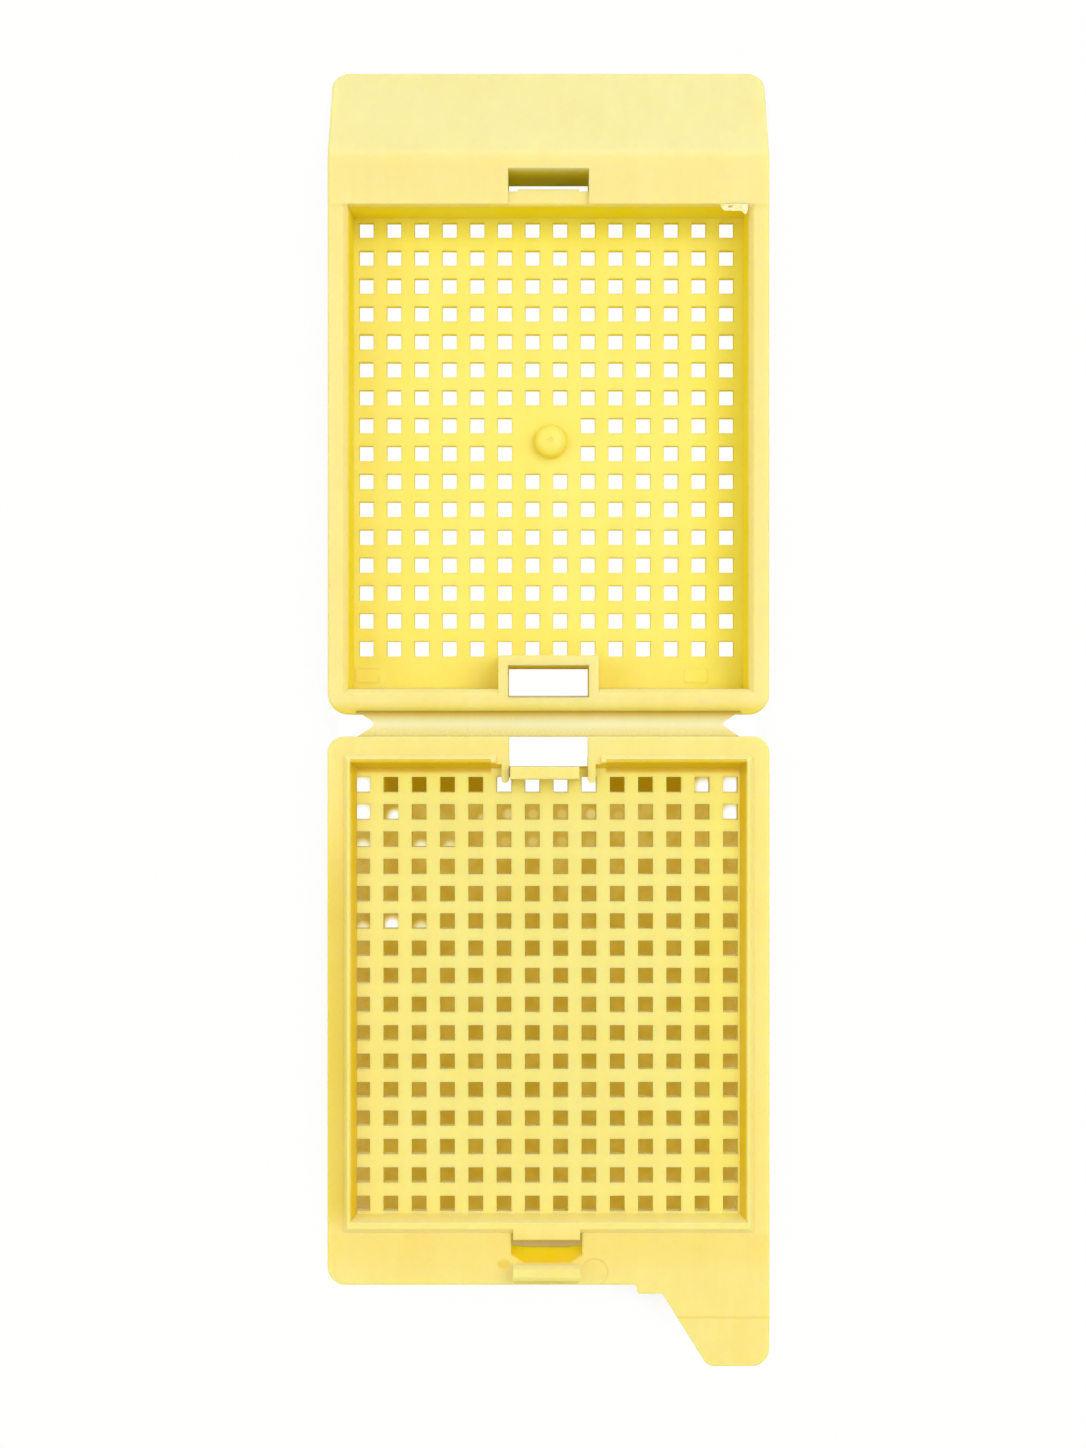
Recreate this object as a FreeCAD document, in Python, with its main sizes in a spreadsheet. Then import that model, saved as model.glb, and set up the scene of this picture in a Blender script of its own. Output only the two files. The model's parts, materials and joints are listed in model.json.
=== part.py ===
"""Tissue cassette: a perforated tray and lid moulded in one with a film hinge, shown open and flat.

Millimetres. The origin is on the tray's underside, where the cassette rests, midway between the
two sides and halfway along the hole grid. +Z is up, +Y runs from the hinge to the sloping writing
face, and the lid lies open on the -Y side. The hinge folds about a line along X at the height of
the parting plane.
"""
import FreeCAD, Part
import os
import re

import Sketcher

document = FreeCAD.newDocument("tissue_cassette")
sizes = document.addObject("Spreadsheet::Sheet", "sizes")

# ---- driving dimensions -------------------------------------------------------------------
# Lengths along Y that start at the fold are measured outwards from the fold line, to the base
# on one side and to the lid on the other.

DIMENSIONS = [
    ("width", 28.1, "overall width of the base and of the lid"),
    ("parting_height", 5.2, "height of the ledge, and of the fold line above the bench"),
    ("overcut", 1.0, "how far a cut runs past the material"),
    # the hole grids
    ("hole_across", 0.94, "a hole at the inside face, across the width"),
    ("hole_along", 0.98, "the same, along the length"),
    ("hole_draft", 1.8, "draft of a hole's walls, degrees"),
    ("columns", 14, "holes across the width"),
    ("rows", 16, "holes along the length"),
    ("grid_shift", 0.13, "both grids sit this far to the left of the middle"),
    ("side_margin", 1.03, "tray's side to the middle of the first column, without that shift"),
    ("rear_margin", 2.67, "tray's rear end to the middle of the first row"),
    ("front_margin", 0.86, "middle of the last row to the tray's front end"),
    # base: outline and heights
    ("base_gap", 0.60, "fold line to the base's rear wall"),
    ("rear_rim", 1.62, "width of the rear rim"),
    ("side_rim", 1.28, "width of the side rims"),
    ("tray_length", 30.83, "opening of the tray, rear to front"),
    ("ledge_length", 3.14, "flat ledge in front of the tray"),
    ("slope_length", 6.21, "writing slope, measured along the bench"),
    ("lip_height", 0.6, "height of the front end below the writing slope"),
    ("rim_drop", 0.1, "how far the rims lie below the ledge"),
    ("step_run", 0.3, "length of the ramp between rim and ledge"),
    ("base_floor", 0.6, "thickness of the tray's floor"),
    ("tray_draft", 1.0, "draft of the tray's walls, degrees"),
    ("crest_radius", 1.6, "rounding between ledge and writing slope"),
    ("rear_bevel_run", 0.75, "rounded rear edge, along Y"),
    ("rear_bevel_drop", 0.38, "rounded rear edge, down"),
    ("rear_rounding", 1.6, "radius that blends the rear edge into the rim"),
    ("base_rear_corner", 1.3, "upright rear corners"),
    ("base_front_corner", 1.1, "upright front corners"),
    ("base_edge", 0.22, "rounding of the base's outer top edge"),
    ("seat_width", 0.30, "bevel on the rims that the lid's ridge sits in"),
    ("seat_depth", 0.40, "depth of that bevel"),
    # base: hollows under the writing slope
    ("shell_wall", 1.0, "walls behind and beside the slot, round the hollows under the slope"),
    ("side_wall", 1.1, "outer side walls of those hollows"),
    ("slope_wall", 1.24, "upright thickness of the writing slope"),
    ("rib", 1.0, "ribs between those hollows"),
    # base: rear slot and collar
    ("slot_width", 5.14, "width of both snap slots"),
    ("rear_slot_wall", 1.08, "rear wall behind the rear slot"),
    ("rear_slot_length", 2.07, "rear slot along Y at the rim"),
    ("rear_slot_draft", 0.2, "how far each of its end walls leans in towards the underside"),
    ("collar_wall", 0.62, "wall round the rear slot"),
    # base: front slot and catch bar
    ("bar_length", 0.85, "catch bar, between the tray and the front slot"),
    ("bar_thickness", 1.2, "catch bar, top to underside"),
    ("bar_drop", 0.4, "catch bar's top below the ledge"),
    ("bar_rounding", 0.2, "rounding of the bar's top edge on the tray's side"),
    ("bar_bulge", 0.14, "how far the middle of the bar stands into the slot"),
    ("bulge_inset", 0.62, "end of that middle to the slot's side"),
    ("catch_depth", 0.25, "undercut below the catch bar"),
    ("catch_height", 1.8, "height of that undercut"),
    ("front_slot_length", 1.40, "front slot along Y at the ledge"),
    ("front_slot_draft", 0.16, "how far its front wall leans in towards the underside"),
    # base: button and floor pads
    ("button_diameter", 2.15, "centre button"),
    ("button_height", 1.3, "button above the tray's floor"),
    ("button_dome", 0.75, "rounding of the button's top"),
    ("button_shift", 0.15, "the button sits this far off the grid's middle, each way"),
    ("dimple_diameter", 0.3, "dimple in the button's top"),
    ("dimple_depth", 0.05, "depth of the dimple"),
    ("floor_pad_length", 1.5, "two faint pads on the floor at the rear, across"),
    ("floor_pad_width", 0.9, "the same, along"),
    ("floor_pad_place", 0.48, "tray's rear end to those pads"),
    ("left_pad", 0.97, "tray's left side to the middle of the left pad"),
    ("right_pad", 3.17, "tray's right side to the middle of the right pad"),
    # film hinge
    ("film_inset", 0.23, "base's rear wall to the film's end in its step"),
    ("film_drop", 0.42, "film's top below the parting plane"),
    ("film_thickness", 0.25, "thickness of the film"),
    ("film_setback", 1.8, "film's ends to the sides of the base"),
    ("film_notch", 1.32, "depth of the V notch at each end of the film"),
    ("film_notch_radius", 0.15, "rounding at the notch's tip"),
    ("film_clearance", 0.03, "gap between the film and the lid"),
    # lid: outline
    ("lid_setback", 0.19, "lid's rear edge behind the base's, measured from the fold line"),
    ("lid_overhang", 0.35, "lid's front edge beyond the base's front slot, when shut"),
    ("closing_gap", 0.05, "lid's flange below the parting plane, when open"),
    ("flange", 0.9, "thickness of the lid's flange"),
    ("lid_rear_corner", 1.05, "rear corners"),
    ("lid_front_corner", 1.15, "front corner beside the tongue, and outer corner of the tab"),
    ("lid_edge", 0.12, "rounding of the lid's upper outer edge"),
    # lid: seating ridge and the well inside it
    ("ridge_side_clearance", 0.02, "ridge's foot to the edge of the base's seat bevel, each side"),
    ("ridge_rear_clearance", 0.06, "the same at the rear"),
    ("ridge_front_clearance", 0.74, "ridge's foot to the base's ledge"),
    ("ridge_height", 0.45, "ridge above the flange"),
    ("ridge_lean", 0.31, "how far the ridge's outer face leans in"),
    ("crown", 0.12, "flat top of the ridge at the sides and rear"),
    ("front_crown", 0.36, "flat top of the ridge at the front"),
    ("lid_recess", 0.85, "flange's top down to the grid's top"),
    ("lid_plate", 0.8, "thickness of the lid's grid"),
    ("well_lean", 0.40, "how far the well's walls lean in down to the grid"),
    ("pan_wall", 0.28, "wall of the shallow pan under the flange, outside the well"),
    ("lid_rear_margin", 1.46, "well's rear end to the middle of the first row"),
    ("lid_front_margin", 1.03, "middle of the last row to the well's front end"),
    ("rear_row_share", 0.977, "pitch of the rear half of the lid's rows, over the mean pitch"),
    ("front_row_share", 1.018, "the same for the front half, which is more open"),
    # lid: rear notch, legs and tongue
    ("notch_inset", 0.07, "each side of the lid's rear notch inside the base's slot"),
    ("leg_width", 0.49, "legs beside the rear tongue"),
    ("leg_length", 1.04, "legs beyond the notch"),
    ("leg_rounding", 0.23, "rounding of the legs' ends"),
    ("collar_clearance", 0.15, "ridge's ends to the base's collar"),
    ("rear_tongue_clearance", 0.20, "rear tongue to the far wall of the base's slot"),
    ("rear_tongue_play", 0.145, "rear tongue's left end to the side of the base's slot"),
    ("rear_tongue_shift", 0.24, "rear tongue's offset to the left"),
    ("rear_tongue_root", 0.85, "rear tongue's thickness at the grid"),
    ("rear_tongue_tip", 0.78, "rear tongue's thickness at its tip"),
    ("rear_tongue_height", 1.2, "rear tongue above the flange"),
    ("rear_tongue_rounding", 0.1, "rounding of its tip"),
    # lid: front tongue, window and sill
    ("tongue_clearance", 0.27, "front tongue to the front wall of the base's slot"),
    ("tongue_play", 0.335, "front tongue's left end to the side of the base's slot"),
    ("tongue_shift", 0.12, "offset of the tongue, sill and window to the left"),
    ("tongue_thickness", 0.70, "front tongue"),
    ("tongue_height", 2.0, "front tongue above the flange"),
    ("tongue_bevel", 0.25, "bevel on the front tongue's outer tip"),
    ("barb_clearance", 0.04, "snap barb to the catch bar"),
    ("barb_height", 0.65, "tip of the barb below the tongue's top"),
    ("window_margin", 0.145, "window wider than the tongue, each side"),
    ("window_gap", 0.02, "ridge's foot to the window"),
    ("window_ramp", 0.98, "tongue to the far edge of the window's clear part"),
    ("window_side_ramp", 0.53, "tongue to the window's far edge at its sides"),
    ("window_bevel", 0.82, "width of the bevelled corners of the window"),
    ("window_step", 0.12, "the window's clear part is this much shorter at its sides"),
    ("sill_clearance", 0.35, "sill behind the window to the base's catch bar"),
    ("groove_place", 0.33, "tongue to the groove along its foot"),
    ("groove_length", 4.0, "length of that groove"),
    ("groove_width", 0.16, "width of that groove"),
    ("groove_depth", 0.12, "depth of that groove"),
    ("mark_depth", 0.04, "depth of the ejector marks, and height of the floor pads"),
    ("left_mark_gap", 0.62, "tongue's left end to the middle of the left ejector mark"),
    ("right_mark_gap", 0.93, "tongue's right end to the middle of the right ejector mark"),
    ("right_mark_place", 0.5, "how much nearer to the lid's front end the right mark is"),
    ("small_mark", 0.7, "left mark's diameter"),
    ("large_mark", 1.7, "right mark's diameter"),
    # lid: finger tab on the right
    ("tab_width", 8.42, "tab across, from its first step to the lid's right side"),
    ("tab_step", 0.57, "length of that step"),
    ("tab_step_corner", 0.2, "corners of that step"),
    ("tab_shoulder", 1.62, "first step to the start of the slanting side"),
    ("tab_run", 2.86, "slanting side, across"),
    ("tab_length", 5.21, "tab beyond the lid's front edge"),
    ("tab_point_corner", 0.8, "tab's inner end corner"),
    ("tab_crease", 2.05, "lid's front edge to the crease across the tab"),
    ("tab_thinning", 0.2, "how much thinner the tab is at its end"),
]

for row, (alias, value, meaning) in enumerate(DIMENSIONS, start=1):
    sizes.set("A%d" % row, meaning)
    sizes.set("B%d" % row, str(value))
    sizes.setAlias("B%d" % row, alias)
document.recompute()

# ---- sizes and places worked out from them --------------------------------------------------
# Places are distances from the fold line. What fits something else takes its size from it.

WORKED_OUT = {
    # base
    "opening": "width - 2 * side_rim",
    "tray_start": "base_gap + rear_rim",
    "tray_end": "tray_start + tray_length",
    "crest_line": "tray_end + ledge_length",
    "base_end": "crest_line + slope_length",
    "pitch_across": "(opening - 2 * side_margin) / (columns - 1)",
    "base_pitch": "(tray_length - rear_margin - front_margin) / (rows - 1)",
    "fold_to_middle": "tray_start + (tray_length + rear_margin - front_margin) / 2",
    "rim_top": "parting_height - rim_drop",
    "seat_reach": "seat_width * (1 + rim_drop / seat_depth)",
    "collar_width": "slot_width + 2 * collar_wall",
    "rear_slot_start": "base_gap + rear_slot_wall",
    "rear_slot_end": "rear_slot_start + rear_slot_length",
    "bar_front": "tray_end + bar_length",
    "bar_top": "parting_height - bar_drop",
    "bar_underside": "bar_top - bar_thickness",
    "bulge_width": "slot_width - 2 * bulge_inset",
    "front_slot_end": "bar_front + front_slot_length",
    "slope_fall": "(parting_height - lip_height) / slope_length",
    "hollow_top": "parting_height - slope_wall",
    "hollow_width": "(width / 2 - side_wall - slot_width / 2 - shell_wall - rib) / 2",
    # film
    "film_start": "base_gap + film_inset",
    "film_end": "lid_start - film_clearance",
    "film_underside": "parting_height - film_drop - film_thickness",
    "film_width": "width - 2 * film_setback",
    # lid
    "lid_start": "base_gap + lid_setback",
    "lid_end": "front_slot_end + lid_overhang",
    "flange_top": "parting_height - closing_gap",
    "grid_top": "flange_top - lid_recess",
    "tab_inner": "width / 2 - tab_width",
    "tab_point": "tab_inner + tab_shoulder + tab_run",
    "ridge_width": "opening + 2 * seat_width - 2 * ridge_side_clearance",
    "ridge_start": "tray_start - seat_width + ridge_rear_clearance",
    "ridge_end": "tray_end - ridge_front_clearance",
    "well_width": "ridge_width - 2 * (ridge_lean + crown)",
    "well_start": "ridge_start + ridge_lean + crown",
    "well_end": "ridge_end - ridge_lean - front_crown",
    "lid_pitch": "(well_end - well_start - lid_rear_margin - lid_front_margin) / (rows - 1)",
    "lid_rear_pitch": "lid_pitch * rear_row_share",
    "lid_front_pitch": "lid_pitch * front_row_share",
    "notch_width": "slot_width - 2 * notch_inset",
    "notch_end": "rear_slot_end - rear_tongue_clearance - rear_tongue_root",
    "rear_tongue_width": "slot_width - 2 * rear_tongue_play - 2 * rear_tongue_shift",
    "tongue_width": "slot_width - 2 * tongue_play - 2 * tongue_shift",
    "tongue_end": "front_slot_end - tongue_clearance",
    "tongue_start": "tongue_end - tongue_thickness",
    "barb": "tongue_start - bar_front - bar_bulge - barb_clearance",
    "window_width": "tongue_width + 2 * window_margin",
    "window_start": "ridge_end + window_gap",
    "window_through": "tongue_start - window_ramp",
    "window_side": "tongue_start - window_side_ramp",
}

# ---- helpers: sketches, pads, pockets and edges bound to the sheet -------------------------

ALIASES = {alias for alias, _, _ in DIMENSIONS}


def bound(text):
    """The expression with worked-out names spelled out and the sheet's name before its aliases."""
    def spelled(word):
        if word[0] in WORKED_OUT:
            return "(%s)" % bound(WORKED_OUT[word[0]])
        return "sizes." + word[0] if word[0] in ALIASES else word[0]
    return re.sub(r"[a-z_]+", spelled, text)


def number(text):
    """The value of an expression now."""
    return float(sizes.evalExpression(bound(text)))


def on_base(distance):
    """Y of a place on the base, from its distance to the fold line."""
    return "%s - fold_to_middle" % distance


def on_lid(distance):
    """Y of a place on the open lid, from its distance to the fold line."""
    return "-fold_to_middle - (%s)" % distance


def new_body(name):
    body = document.addObject("PartDesign::Body", name)
    body.Label = name
    return body


def sketch_on(body, name, role, height):
    """An empty sketch on one of the body's own origin planes, lifted along its normal."""
    sketch = body.newObject("Sketcher::SketchObject", name)
    planes = [plane for plane in body.Origin.OriginFeatures if plane.Role == role]
    sketch.AttachmentSupport = [(planes[0], "")]
    sketch.MapMode = "FlatFace"
    sketch.setExpression("AttachmentOffset.Base.z", bound(height))
    return sketch


def hold(sketch, kind, line, text):
    """Fix one coordinate of a line's start, or of a circle's centre, to an expression."""
    point = 3 if isinstance(sketch.Geometry[line], Part.Circle) else 1
    index = sketch.addConstraint(Sketcher.Constraint(kind, -1, 1, line, point, number(text)))
    sketch.setExpression("Constraints[%d]" % index, bound(text))


def polygon(sketch, corners):
    """A closed loop of straight lines through corners given as pairs of expressions."""
    points = [FreeCAD.Vector(number(across), number(up), 0) for across, up in corners]
    for start, end in zip(points, points[1:] + points[:1]):
        sketch.addGeometry(Part.LineSegment(start, end))
    for line, (across, up) in enumerate(corners):
        following = (line + 1) % len(corners)
        sketch.addConstraint(Sketcher.Constraint("Coincident", line, 2, following, 1))
        hold(sketch, "DistanceX", line, across)
        hold(sketch, "DistanceY", line, up)


def circle(sketch, across, up, diameter):
    """A circle whose centre and diameter are expressions."""
    centre = FreeCAD.Vector(number(across), number(up), 0)
    sketch.addGeometry(Part.Circle(centre, FreeCAD.Vector(0, 0, 1), number(diameter) / 2))
    hold(sketch, "DistanceX", 0, across)
    hold(sketch, "DistanceY", 0, up)
    index = sketch.addConstraint(Sketcher.Constraint("Diameter", 0, number(diameter)))
    sketch.setExpression("Constraints[%d]" % index, bound(diameter))


def draw(sketch, outline):
    """Draw an outline: a list of corners, or the keyword values of a circle."""
    if isinstance(outline, dict):
        circle(sketch, **outline)
    else:
        polygon(sketch, outline)


def box(left, right, rear, front):
    return [(left, rear), (right, rear), (right, front), (left, front)]


def centred(width, rear, front, shift="0"):
    """A rectangle about the middle, or moved to the left of it by shift."""
    return box("-%s / 2 - %s" % (width, shift), "%s / 2 - %s" % (width, shift), rear, front)


def finish_feature(body, feature, adds):
    """Make the feature the body's tip, and see that it changed the solid the way it should."""
    before = body.Shape.Volume if body.Tip and not body.Shape.isNull() else 0
    body.Tip = feature
    document.recompute()
    change = feature.Shape.Volume - before
    if change * adds <= 0:
        raise RuntimeError("%s changed the volume by %g" % (feature.Name, change))
    return feature


def pad(body, name, role, start, length, outline, lean="0"):
    """Material along the plane's normal from start, whose walls lean in by an angle."""
    sketch = sketch_on(body, name + "_sketch", role, start)
    draw(sketch, outline)
    feature = body.newObject("PartDesign::Pad", name)
    feature.Profile = sketch
    feature.setExpression("Length", bound(length))
    feature.setExpression("TaperAngle", bound("-(%s)" % lean))
    return finish_feature(body, feature, 1)


def pocket(body, name, role, start, length, outline, lean="0", back=False):
    """A cut along the plane's normal from start, or against it, whose walls lean in."""
    sketch = sketch_on(body, name + "_sketch", role, start)
    draw(sketch, outline)
    feature = body.newObject("PartDesign::Pocket", name)
    feature.Profile = sketch
    feature.Type = "Length"
    feature.Reversed = not back
    feature.setExpression("Length", bound(length))
    feature.setExpression("TaperAngle", bound("-(%s)" % lean))
    return finish_feature(body, feature, -1)


def through_width(body, name, outline):
    """A cut right across the body, whose outline is drawn from the side."""
    return pocket(body, name, "YZ_Plane", "-width / 2 - overcut", "width + 2 * overcut", outline)


def dress(body, kind, name, picked, bindings):
    """A Fillet or Chamfer on the tip's edges for which picked(edge) is true."""
    base = body.Tip
    names = ["Edge%d" % (i + 1) for i, edge in enumerate(base.Shape.Edges) if picked(edge)]
    if not names:
        raise RuntimeError("%s found no edge" % name)
    feature = body.newObject("PartDesign::" + kind, name)
    feature.Base = (base, names)
    for key, text in bindings.items():
        feature.setExpression(key, bound(text))
    return feature


def fillet(body, name, radius, picked, adds=-1):
    feature = dress(body, "Fillet", name, picked, {"Radius": radius})
    return finish_feature(body, feature, adds)


def lies_along(edge, direction):
    """True for a straight edge along X, Y or Z."""
    if not isinstance(edge.Curve, Part.Line):
        return False
    return abs(abs(edge.Curve.Direction.dot(direction)) - 1) < 1e-6


ALONG_X = FreeCAD.Vector(1, 0, 0)
ALONG_Y = FreeCAD.Vector(0, 1, 0)
ALONG_Z = FreeCAD.Vector(0, 0, 1)


def near(value, text):
    return abs(value - number(text)) < 1e-4


def hole_grid(body, name, start, depth, first_row, pitch, rows="rows"):
    """A nearly square hole, drafted towards the underside, repeated across and along the floor."""
    left = "-(columns - 1) / 2 * pitch_across - grid_shift"
    corners = box(left + " - hole_across / 2", left + " + hole_across / 2",
                  first_row + " - hole_along / 2", first_row + " + hole_along / 2")
    first = pocket(body, name + "_first", "XY_Plane", start, depth, corners, "hole_draft", back=True)
    grid = body.newObject("PartDesign::LinearPattern", name)
    grid.Originals = [first]
    axes = {axis.Role: axis for axis in body.Origin.OriginFeatures}
    grid.Direction = (axes["X_Axis"], [""])
    grid.Direction2 = (axes["Y_Axis"], [""])
    grid.Mode = "Extent"
    grid.Mode2 = "Extent"
    grid.setExpression("Length", bound("(columns - 1) * pitch_across"))
    grid.setExpression("Length2", bound("(%s - 1) * %s" % (rows, pitch)))
    grid.setExpression("Occurrences", bound("columns"))
    grid.setExpression("Occurrences2", bound(rows))
    return finish_feature(body, grid, -1)


# ---- base: outline, rounded rear edge and writing slope -------------------------------------

base = new_body("base")
BASE_REAR = on_base("base_gap")
BASE_FRONT = on_base("base_end")
TRAY_REAR = on_base("tray_start")
TRAY_FRONT = on_base("tray_end")
CREST = on_base("crest_line")

pad(base, "block", "XY_Plane", "0", "parting_height",
    box("-width / 2", "width / 2", BASE_REAR, BASE_FRONT))
through_width(base, "slope", [
    (CREST, "parting_height"),
    (BASE_FRONT, "lip_height"),
    (BASE_FRONT + " + overcut", "lip_height"),
    (BASE_FRONT + " + overcut", "parting_height + overcut"),
    (CREST, "parting_height + overcut")])
through_width(base, "rims", [
    (BASE_REAR + " - overcut", "rim_top - rear_bevel_drop"),
    (BASE_REAR, "rim_top - rear_bevel_drop"),
    (BASE_REAR + " + rear_bevel_run", "rim_top"),
    (TRAY_FRONT + " - step_run", "rim_top"),
    (TRAY_FRONT, "parting_height"),
    (TRAY_FRONT, "parting_height + overcut"),
    (BASE_REAR + " - overcut", "parting_height + overcut")])
fillet(base, "rear_rounding", "rear_rounding",
       lambda edge: lies_along(edge, ALONG_X) and near(edge.CenterOfMass.z, "rim_top")
       and near(edge.CenterOfMass.y, BASE_REAR + " + rear_bevel_run"))
fillet(base, "crest", "crest_radius",
       lambda edge: lies_along(edge, ALONG_X) and near(edge.CenterOfMass.z, "parting_height")
       and near(edge.CenterOfMass.y, CREST))
fillet(base, "rear_corners", "base_rear_corner",
       lambda edge: lies_along(edge, ALONG_Z) and near(edge.CenterOfMass.y, BASE_REAR))
fillet(base, "front_corners", "base_front_corner",
       lambda edge: lies_along(edge, ALONG_Z) and near(edge.CenterOfMass.y, BASE_FRONT))


def on_base_outline(edge):
    """True for the base's outer edges above the bench and off the upright corners."""
    if edge.BoundBox.ZMin < number("lip_height") - 1e-4 or lies_along(edge, ALONG_Z):
        return False
    middle = edge.valueAt((edge.FirstParameter + edge.LastParameter) / 2)
    at_side = near(abs(middle.x), "width / 2")
    at_end = near(middle.y, BASE_REAR) or near(middle.y, BASE_FRONT)
    round_corner = abs(middle.x) > number("width / 2 - base_front_corner") - 1e-4
    beyond_corner = (middle.y < number(BASE_REAR + " + base_rear_corner")
                     or middle.y > number(BASE_FRONT + " - base_front_corner"))
    return at_side or at_end or (round_corner and beyond_corner)


fillet(base, "outer_edges", "base_edge", on_base_outline)

# ---- base: tray, seat bevel, floor pads -----------------------------------------------------

pocket(base, "tray", "XY_Plane", "parting_height", "parting_height - base_floor",
       centred("opening", TRAY_REAR, TRAY_FRONT), "tray_draft", back=True)
pocket(base, "seat_bevel", "XY_Plane", "parting_height", "seat_depth + rim_drop",
       centred("(opening + 2 * seat_reach)", TRAY_REAR + " - seat_reach", TRAY_FRONT),
       "atan(seat_width / seat_depth)", back=True)
for side, middle in (("left", "left_pad - opening / 2"), ("right", "opening / 2 - right_pad")):
    pad(base, side + "_floor_pad", "XY_Plane", "base_floor", "mark_depth",
        box(middle + " - floor_pad_length / 2", middle + " + floor_pad_length / 2",
            TRAY_REAR + " + floor_pad_place", TRAY_REAR + " + floor_pad_place + floor_pad_width"))

# ---- base: rear slot in its collar, which the lid's rear tongue enters -----------------------

pad(base, "collar", "XY_Plane", "base_floor", "rim_top - base_floor",
    centred("collar_width", TRAY_REAR + " - seat_width", on_base("rear_slot_end + collar_wall")))
pocket(base, "rear_slot", "YZ_Plane", "-slot_width / 2", "slot_width", [
    (on_base("rear_slot_start") + " + rear_slot_draft", "-overcut"),
    (on_base("rear_slot_end") + " - rear_slot_draft", "-overcut"),
    (on_base("rear_slot_end"), "rim_top"),
    (on_base("rear_slot_end"), "parting_height + overcut"),
    (on_base("rear_slot_start"), "parting_height + overcut"),
    (on_base("rear_slot_start"), "rim_top")])

# ---- base: front slot, with the catch bar between it and the tray ----------------------------

BAR_FRONT = on_base("bar_front")
pocket(base, "front_slot", "YZ_Plane", "-slot_width / 2", "slot_width", [
    (BAR_FRONT, "-overcut"),
    (on_base("front_slot_end") + " - front_slot_draft", "-overcut"),
    (on_base("front_slot_end"), "parting_height"),
    (on_base("front_slot_end"), "parting_height + overcut"),
    (BAR_FRONT, "parting_height + overcut")])
pocket(base, "bar_recess", "XY_Plane", "bar_top", "parting_height",
       centred("slot_width", TRAY_FRONT + " - bar_length", BAR_FRONT))
fillet(base, "bar_rear_edge", "bar_rounding",
       lambda edge: near(edge.CenterOfMass.z, "bar_top") and near(edge.CenterOfMass.x, "0")
       and edge.CenterOfMass.y < number(TRAY_FRONT + " + bar_rounding"))
pocket(base, "catch", "XY_Plane", "bar_underside - catch_height", "catch_height",
       centred("slot_width", BAR_FRONT + " - catch_depth", BAR_FRONT))
pad(base, "bar_bulge", "XY_Plane", "bar_underside", "bar_thickness",
    centred("bulge_width", BAR_FRONT + " - catch_depth", BAR_FRONT + " + bar_bulge"))

# ---- base: four hollows under the writing slope, with ribs between them ----------------------

HOLLOWS = {
    "left_outer": "-width / 2 + side_wall",
    "left_inner": "-slot_width / 2 - shell_wall - hollow_width",
    "right_inner": "slot_width / 2 + shell_wall",
    "right_outer": "width / 2 - side_wall - hollow_width",
}
for place, start in HOLLOWS.items():
    pocket(base, place + "_hollow", "YZ_Plane", start, "hollow_width", [
        (TRAY_FRONT + " + shell_wall", "-overcut"),
        (CREST + " + (hollow_top + overcut) / slope_fall", "-overcut"),
        (CREST, "hollow_top"),
        (TRAY_FRONT + " + shell_wall", "hollow_top")])

# ---- base: the step in the rear wall that the film grows from --------------------------------

pocket(base, "film_step", "XY_Plane", "film_underside", "parting_height",
       centred("film_width", BASE_REAR + " - overcut", on_base("film_start")))

# ---- base: the button, the hole grid, and the island that fills the grid under the button ----

pad(base, "button", "XY_Plane", "base_floor", "button_height",
    dict(across="button_shift", up="-button_shift", diameter="button_diameter"))
fillet(base, "button_dome", "button_dome",
       lambda edge: isinstance(edge.Curve, Part.Circle)
       and near(edge.CenterOfMass.z, "base_floor + button_height"))
pocket(base, "dimple", "XY_Plane", "base_floor + button_height - dimple_depth", "dimple_depth + overcut",
       dict(across="button_shift", up="-button_shift", diameter="dimple_diameter"))
hole_grid(base, "base_grid", "base_floor", "base_floor", "-(rows - 1) / 2 * base_pitch", "base_pitch")
pad(base, "island", "XY_Plane", "0", "base_floor",
    box("-pitch_across - grid_shift", "pitch_across - grid_shift", "-base_pitch", "base_pitch"))

# ---- living hinge: a thin film with a V notch at each end ------------------------------------

living_hinge = new_body("living_hinge")
FOLD = "-fold_to_middle"
pad(living_hinge, "film", "XY_Plane", "film_underside", "film_thickness", [
    ("-film_width / 2", on_base("film_start")),
    ("-film_width / 2 + film_notch", FOLD),
    ("-film_width / 2", on_lid("film_end")),
    ("film_width / 2", on_lid("film_end")),
    ("film_width / 2 - film_notch", FOLD),
    ("film_width / 2", on_base("film_start"))])
fillet(living_hinge, "notch_tips", "film_notch_radius",
       lambda edge: lies_along(edge, ALONG_Z) and near(edge.CenterOfMass.y, FOLD), adds=1)

# ---- lid: flange with its finger tab ---------------------------------------------------------

lid = new_body("lid")
LID_REAR = on_lid("lid_start")
LID_FRONT = on_lid("lid_end")
TAB_END = on_lid("lid_end + tab_length")

pad(lid, "flange_plate", "XY_Plane", "flange_top - flange", "flange", [
    ("-width / 2", LID_REAR),
    ("-width / 2", LID_FRONT),
    ("tab_inner", LID_FRONT),
    ("tab_inner", on_lid("lid_end + tab_step")),
    ("tab_inner + tab_shoulder", on_lid("lid_end + tab_step")),
    ("tab_point", TAB_END),
    ("width / 2", TAB_END),
    ("width / 2", LID_REAR)])
fillet(lid, "lid_rear_corners", "lid_rear_corner",
       lambda edge: lies_along(edge, ALONG_Z) and near(edge.CenterOfMass.y, LID_REAR))
fillet(lid, "lid_front_corners", "lid_front_corner",
       lambda edge: lies_along(edge, ALONG_Z) and near(abs(edge.CenterOfMass.x), "width / 2"))
fillet(lid, "tab_point_corner", "tab_point_corner",
       lambda edge: lies_along(edge, ALONG_Z) and near(edge.CenterOfMass.y, TAB_END)
       and near(edge.CenterOfMass.x, "tab_point"))
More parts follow.
